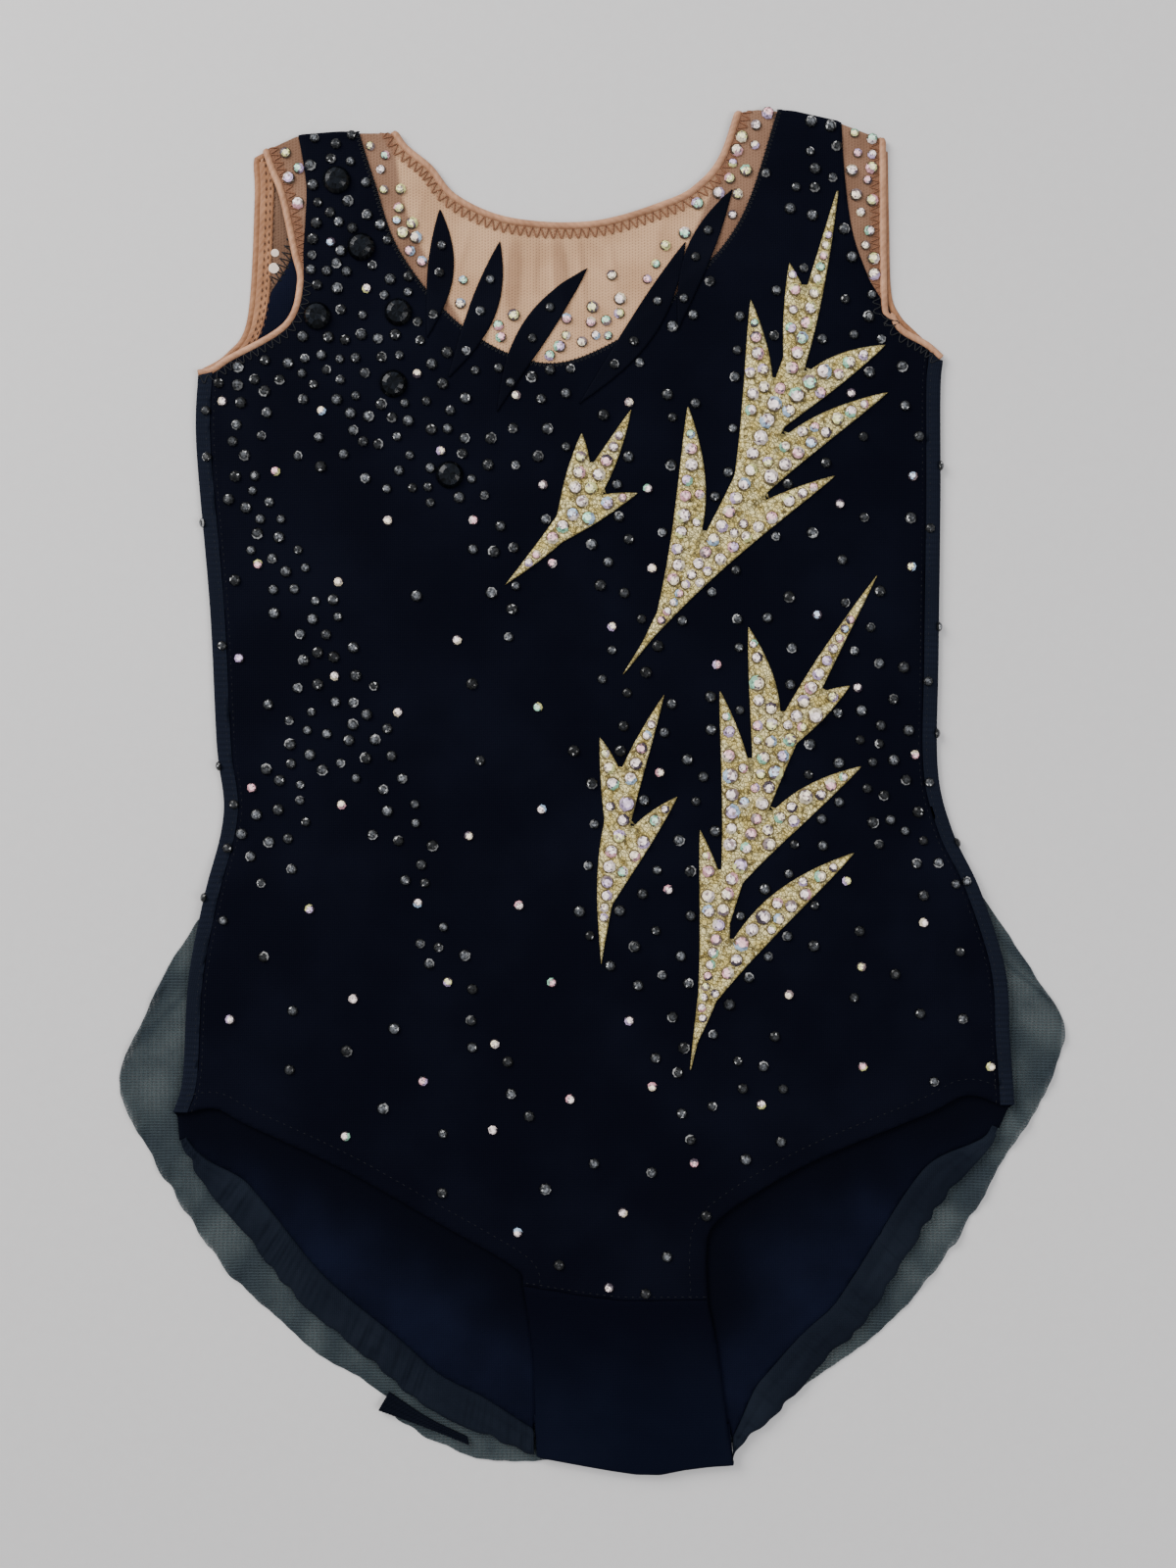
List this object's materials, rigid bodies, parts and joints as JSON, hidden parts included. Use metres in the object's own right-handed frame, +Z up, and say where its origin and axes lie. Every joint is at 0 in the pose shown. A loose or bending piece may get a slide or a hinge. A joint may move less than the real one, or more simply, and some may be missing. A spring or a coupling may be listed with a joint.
{
  "type": "rhythmic gymnastics leotard",
  "caption": "Sleeveless girl's leotard laid flat, with a sheer yoke, gathered leg edges, a net skirt behind, leaf-shaped gold applique and raised stones.",
  "frame": {"origin": "under the middle of the garment's outline, on the surface it lies on", "axes": "+Z up off the surface, +Y from the crotch to the neck, +X to the wearer's left as seen from above (the front faces up)"},
  "size_m": [0.346, 0.4994, 0.0076],
  "materials": {
    "black_cloth": "matt stretch cloth, near-black navy",
    "navy_cloth": "matt navy stretch cloth, gathered at the hems",
    "skin_mesh": "fine skin-coloured stretch mesh, slightly sheer",
    "skin_binding": "skin-coloured satin binding",
    "sheer_net": "sheer black stretch net",
    "gold_lace": "crinkled gold foil lace, metallic",
    "black_stone": "faceted black glass"
  },
  "bodies": {
    "root": {"front_body": "black_cloth", "back_body": "black_cloth", "skirt_edge_fold": "black_cloth", "yoke_leaf_1": "black_cloth", "yoke_leaf_2": "black_cloth", "yoke_leaf_3": "black_cloth", "yoke_leaf_4": "black_cloth", "yoke_leaf_5": "black_cloth", "gusset": "navy_cloth", "leg_hem_left": "navy_cloth", "leg_hem_right": "navy_cloth", "front_yoke": "skin_mesh", "front_strap_outer_left": "skin_mesh", "front_strap_outer_right": "skin_mesh", "back_yoke": "skin_mesh", "back_strap_outer_left": "skin_mesh", "back_strap_outer_right": "skin_mesh", "neck_binding_front": "skin_binding", "neck_binding_back": "skin_binding", "armhole_binding_front_left": "skin_binding", "armhole_binding_front_right": "skin_binding", "armhole_binding_back_left": "skin_binding", "armhole_binding_back_right": "skin_binding", "skirt": "sheer_net", "gold_spray_upper": "gold_lace", "gold_spray_lower": "gold_lace", "gold_spray_left": "gold_lace", "gold_spray_small": "gold_lace", "large_stone_1": "black_stone", "large_stone_2": "black_stone", "large_stone_3": "black_stone", "large_stone_4": "black_stone", "large_stone_5": "black_stone", "large_stone_6": "black_stone"}
  },
  "joints": []
}
